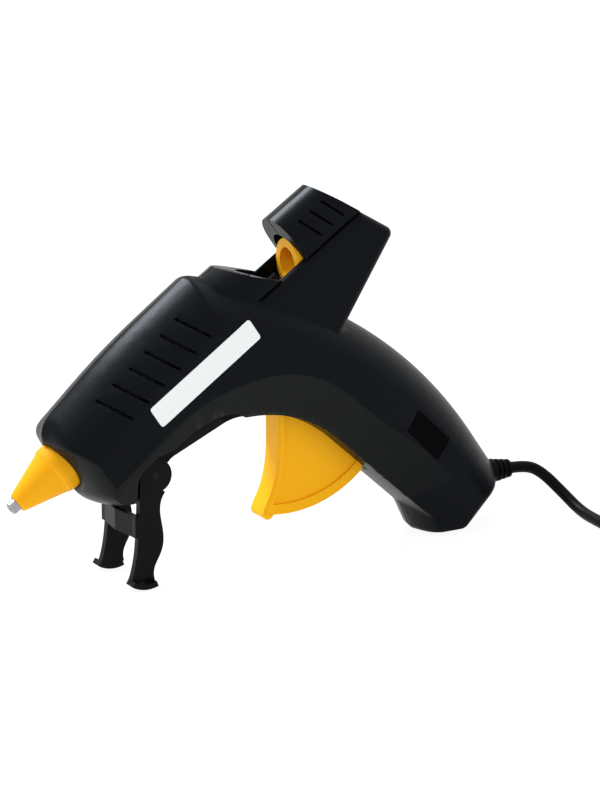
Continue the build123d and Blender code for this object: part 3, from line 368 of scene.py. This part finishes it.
class GLUEGUN_OT_lead(bpy.types.Operator):
    """Lay the power cord: out of the boot, along the bench, round its coil and into the plug"""
    bl_idname = "gluegun.lead"
    bl_label = "Power cord"

    def execute(self, context):
        sizes = context.scene.gun_sizes
        colours = context.scene.gun_colours
        curve = bpy.data.curves.new("power_lead", "CURVE")
        curve.dimensions = "3D"
        curve.bevel_depth = sizes.lead_diameter / 2
        curve.bevel_resolution = 5
        curve.resolution_u = 6
        curve.use_fill_caps = True
        points = ROUTE + coil_points(sizes.coil_turns) + LEAD_END
        spline = curve.splines.new("NURBS")
        spline.points.add(len(points) - 1)
        for target, point in zip(spline.points, points):
            target.co = (*place(*point), 1.0)
        spline.order_u = 3
        spline.use_endpoint_u = True
        lead = bpy.data.objects.new("power_lead", curve)
        context.scene.collection.objects.link(lead)
        curve.materials.append(lead_rubber(colours))
        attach(lead, "housing")
        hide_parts("power_cord", "cord_coil", "plug_lead")
        return {"FINISHED"}


# ---------------------------------------------------------------- housing and small parts

BENCH_LIGHT_TILT = -0.1        # a face whose normal falls more than this gets the painted bench light of the lower band
BENCH_LIGHT_FULL = 30.0        # the painted bench light is full up to here along the gun, in millimetres
BENCH_LIGHT_GONE = 92.0        # and gone from here on


def housing_with_bench_light(colours):
    """The housing's plastic, with painted bench light: a little lighter on the band that slants inwards
    and looks down.
    """
    material = plastic("housing_plastic_bench_lit", colours.housing, gloss=(0.29, 0.35), Specular_IOR_Level=0.08,
                       Specular_Tint=(0.8, 0.9, 1.0, 1.0))
    tree = material.node_tree
    shader = tree.nodes["Principled BSDF"]
    body = shader.inputs["Base Color"].links[0].from_socket
    # Painted bench light: a lighter tone mixed in on the faces marked as looking down.
    mask = add(tree, "ShaderNodeAttribute", attribute_name="painted_band_light")
    painted_light_mix = add(tree, "ShaderNodeMix", data_type="RGBA")
    painted_light_mix.inputs["B"].default_value = rgba(colours.painted_band_light)
    join(tree, mask.outputs["Fac"], painted_light_mix.inputs["Factor"])
    join(tree, body, painted_light_mix.inputs["A"])
    join(tree, painted_light_mix.outputs["Result"], shader.inputs["Base Color"])
    return material


def bench_light_share(face):
    """Share of painted bench light: 1 on a face that looks a little downwards, falling to 0 along the
    handle.
    """
    along = (face.center.x - SHIFT_X) / MM
    fade = (BENCH_LIGHT_GONE - along) / (BENCH_LIGHT_GONE - BENCH_LIGHT_FULL)
    return float(face.normal.z < BENCH_LIGHT_TILT) * min(max(fade, 0.0), 1.0)


def mark_bench_light(piece):
    """Marks the faces that get painted bench light, lighter where they look down, for the housing's
    colour.
    """
    mesh = piece.data
    painted_band_light = mesh.attributes.new("painted_band_light", "FLOAT", "FACE")
    painted_band_light.data.foreach_set("value", [bench_light_share(face) for face in mesh.polygons])


class GLUEGUN_OT_housing(bpy.types.Operator):
    """Finish the two moulded shells"""
    bl_idname = "gluegun.housing"
    bl_label = "Housing"

    def execute(self, context):
        colours = context.scene.gun_colours
        black = housing_with_bench_light(colours)
        for node in ("left_housing", "right_housing"):
            shell = merged_copy(node, node.replace("housing", "shell"), black)
            # Painted bench light on the faces that look down.
            mark_bench_light(shell)
            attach(shell, "housing")
            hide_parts(node)
        badge = plastic("badge_plastic", lighter(colours.housing, 0.45), gloss=(0.3, 0.4),
                        Specular_IOR_Level=0.02)
        label = plastic("label_foil", colours.label, gloss=(0.3, 0.4), size=900, light=1.03)
        dress("badge_plate", badge)
        dress("rating_label", label)
        return {"FINISHED"}


POLISHED_GRAIN = 0.0000015      # depth of the grain on the smooth yellow plastic


class GLUEGUN_OT_small_parts(bpy.types.Operator):
    """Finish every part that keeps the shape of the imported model"""
    bl_idname = "gluegun.small_parts"
    bl_label = "Small parts"

    def execute(self, context):
        colours = context.scene.gun_colours
        black = plastic("stand_plastic", colours.stand, gloss=(0.3, 0.4), Specular_IOR_Level=0.08)
        yellow = plastic("trigger_plastic", colours.trigger, gloss=(0.28, 0.38), depth=POLISHED_GRAIN,
                         light=1.03, Specular_IOR_Level=0.06)
        clamp = plastic("clamp_plastic", colours.clamp, gloss=(0.28, 0.38), depth=POLISHED_GRAIN,
                        light=1.04, Specular_IOR_Level=0.06)
        sleeve = plastic("sleeve_rubber", colours.sleeve, gloss=(0.42, 0.55), light=1.05,
                         Specular_IOR_Level=0.08)
        rubber = lead_rubber(colours)
        aluminium = metal("turned_aluminium", (0.42, 0.42, 0.44), stretch=(8.0, 0.3, 8.0))
        steel = metal("drawn_steel", (0.56, 0.56, 0.58), stretch=(1.0, 0.1, 1.0))
        dark_steel = metal("black_steel", (0.02, 0.02, 0.022))
        finishes = {
            "stand": black, "feed_carriage": black, "cord_clamp": black, "trigger": yellow,
            "stick_clamp": clamp, "nozzle_sleeve": sleeve, "cord_boot": rubber, "cord_tail": rubber,
            "plug_body": rubber, "nozzle_tip": aluminium, "melt_chamber": aluminium,
            "heater_plates": aluminium, "wire_terminals": aluminium,
            "stand_axle": dark_steel, "trigger_pin": steel, "return_spring": steel, "sleeve_clip": steel,
            "clamp_screws": steel, "housing_screws": dark_steel,
            "plug_pins": metal("nickel", (0.7, 0.68, 0.64)),
            "ptc_heater": plastic("ceramic", (0.6, 0.57, 0.5), gloss=(0.6, 0.8)),
            "inlet_sleeve": plastic("silicone", (0.4, 0.07, 0.02), gloss=(0.35, 0.5)),
            "live_wire": plastic("brown_wire", (0.1, 0.035, 0.012), gloss=(0.35, 0.5)),
            "neutral_wire": plastic("blue_wire", (0.01, 0.05, 0.3), gloss=(0.35, 0.5)),
        }
        for node, material in finishes.items():
            dress(node, material)
        return {"FINISHED"}


# ---------------------------------------------------------------- camera, lights and bench

LOOK_AT = (16.62, 0.0, 62.91)
LAMP_AT = (-0.3, 0.6, 0.98)
LAMP_SIZE = (0.5, 0.3)
LAMP_AIM = (0.0, 0.0, 0.06)
LAMP_COLOUR = (0.93, 0.965, 1.0)
BENCH_HALF = 6.0
BENCH_DROP = 0.0003     # the bench lies this far under the gun, so the two never share a plane
BENCH_GLOW = 1.08       # strength of the bench's own white, which lights nothing
GLOW_SHARE = 0.85       # how much of the bench's look is that white


class GLUEGUN_OT_camera(bpy.types.Operator):
    """Set the camera in front of the gun, on its left"""
    bl_idname = "gluegun.camera"
    bl_label = "Camera"

    def execute(self, context):
        stage = context.scene.gun_stage
        a, e = stage.azimuth, stage.elevation
        away = Vector((math.sin(a) * math.cos(e), -math.cos(a) * math.cos(e), math.sin(e)))
        data = bpy.data.cameras.new("camera")
        data.lens = stage.lens
        data.clip_start = 0.01
        camera = bpy.data.objects.new("camera", data)
        camera.location = place(*LOOK_AT) + away * stage.distance
        camera.rotation_euler = away.to_track_quat("Z", "Y").to_euler()
        context.scene.collection.objects.link(camera)
        context.scene.camera = camera
        context.view_layer.update()
        return {"FINISHED"}


def soft_light(name, power, size, location, target, colour):
    """A rectangular lamp aimed at a point."""
    data = bpy.data.lights.new(name, "AREA")
    data.shape = "RECTANGLE"
    data.size, data.size_y = size
    data.energy = power
    data.color = colour
    lamp = bpy.data.objects.new(name, data)
    lamp.location = location
    lamp.rotation_euler = (Vector(location) - Vector(target)).to_track_quat("Z", "Y").to_euler()
    bpy.context.scene.collection.objects.link(lamp)


def seen_ray(tree):
    """1 where the camera looks, straight or by way of glass or gloss."""
    ray = add(tree, "ShaderNodeLightPath")
    value = ray.outputs["Is Camera Ray"]
    for label in ("Is Glossy Ray", "Is Transmission Ray"):
        either = add(tree, "ShaderNodeMath", operation="MAXIMUM")
        join(tree, value, either.inputs[0])
        join(tree, ray.outputs[label], either.inputs[1])
        value = either.outputs["Value"]
    return value


def white_world(scene, strength):
    """A white surround: even light, and plain white where the camera sees past the bench."""
    world = bpy.data.worlds.new("surround")
    scene.world = world
    world.use_nodes = True
    tree = world.node_tree
    tree.nodes.clear()
    seen = seen_ray(tree)
    light = add(tree, "ShaderNodeBackground", Strength=strength)
    white = add(tree, "ShaderNodeBackground", Strength=1.0)
    light.inputs["Color"].default_value = (0.96, 0.98, 1.0, 1.0)
    white.inputs["Color"].default_value = (1.0, 1.0, 1.0, 1.0)
    choose = add(tree, "ShaderNodeMixShader")
    join(tree, seen, choose.inputs["Fac"])
    join(tree, light.outputs["Background"], choose.inputs[1])
    join(tree, white.outputs["Background"], choose.inputs[2])
    out = add(tree, "ShaderNodeOutputWorld")
    join(tree, choose.outputs["Shader"], out.inputs["Surface"])


def bench_material(brightness):
    """A pale bench that stays white to the camera and keeps a soft shadow."""
    material, tree, shader = new_material("bench", Roughness=0.9)
    shader.inputs["Base Color"].default_value = (brightness, brightness, brightness, 1)
    shader.inputs["Specular IOR Level"].default_value = 0.1
    glow = add(tree, "ShaderNodeEmission", Strength=BENCH_GLOW)
    glow.inputs["Color"].default_value = (1, 1, 1, 1)
    share = add(tree, "ShaderNodeMath", operation="MULTIPLY")
    join(tree, seen_ray(tree), share.inputs[0])
    share.inputs[1].default_value = GLOW_SHARE
    choose = add(tree, "ShaderNodeMixShader")
    join(tree, share.outputs["Value"], choose.inputs["Fac"])
    join(tree, shader.outputs["BSDF"], choose.inputs[1])
    join(tree, glow.outputs["Emission"], choose.inputs[2])
    join(tree, choose.outputs["Shader"], tree.nodes["Material Output"].inputs["Surface"])
    return material


class GLUEGUN_OT_stage(bpy.types.Operator):
    """Lay the bench and hang the lights"""
    bl_idname = "gluegun.stage"
    bl_label = "Stage"

    def execute(self, context):
        stage = context.scene.gun_stage
        bm = bmesh.new()
        bmesh.ops.create_grid(bm, x_segments=2, y_segments=2, size=BENCH_HALF)
        bmesh.ops.translate(bm, verts=bm.verts, vec=(0, 0, -BENCH_DROP))
        bench = finished(bm, "bench", bench_material(stage.floor))
        soft_light("light_above", stage.key_power, LAMP_SIZE, LAMP_AT, LAMP_AIM, LAMP_COLOUR)
        white_world(context.scene, stage.surround)
        context.scene.view_settings.view_transform = "Standard"
        return {"FINISHED"}


# ---------------------------------------------------------------- panel and registration

ORDER = ("camera", "lead", "housing", "small_parts", "stage")


class GLUEGUN_PT_panel(bpy.types.Panel):
    bl_idname = "GLUEGUN_PT_panel"
    bl_label = "Glue gun"
    bl_space_type = "VIEW_3D"
    bl_region_type = "UI"
    bl_category = "Glue gun"

    def draw(self, context):
        for group_name in ("gun_sizes", "gun_colours", "gun_stage"):
            settings = getattr(context.scene, group_name)
            column = self.layout.column(align=True)
            for name in settings.__annotations__:
                column.prop(settings, name)
        for name in ORDER:
            self.layout.operator("gluegun." + name)


CLASSES = (GunColours, GunSizes, StageSettings, GLUEGUN_OT_camera, GLUEGUN_OT_lead, GLUEGUN_OT_housing,
           GLUEGUN_OT_small_parts, GLUEGUN_OT_stage, GLUEGUN_PT_panel)


def register():
    for cls in CLASSES:
        bpy.utils.register_class(cls)
    bpy.types.Scene.gun_colours = bpy.props.PointerProperty(type=GunColours)
    bpy.types.Scene.gun_sizes = bpy.props.PointerProperty(type=GunSizes)
    bpy.types.Scene.gun_stage = bpy.props.PointerProperty(type=StageSettings)


def unregister():
    del bpy.types.Scene.gun_stage
    del bpy.types.Scene.gun_sizes
    del bpy.types.Scene.gun_colours
    for cls in reversed(CLASSES):
        bpy.utils.unregister_class(cls)


def main():
    register()
    for name in ORDER:
        getattr(bpy.ops.gluegun, name)()


if __name__ == "__main__":
    main()
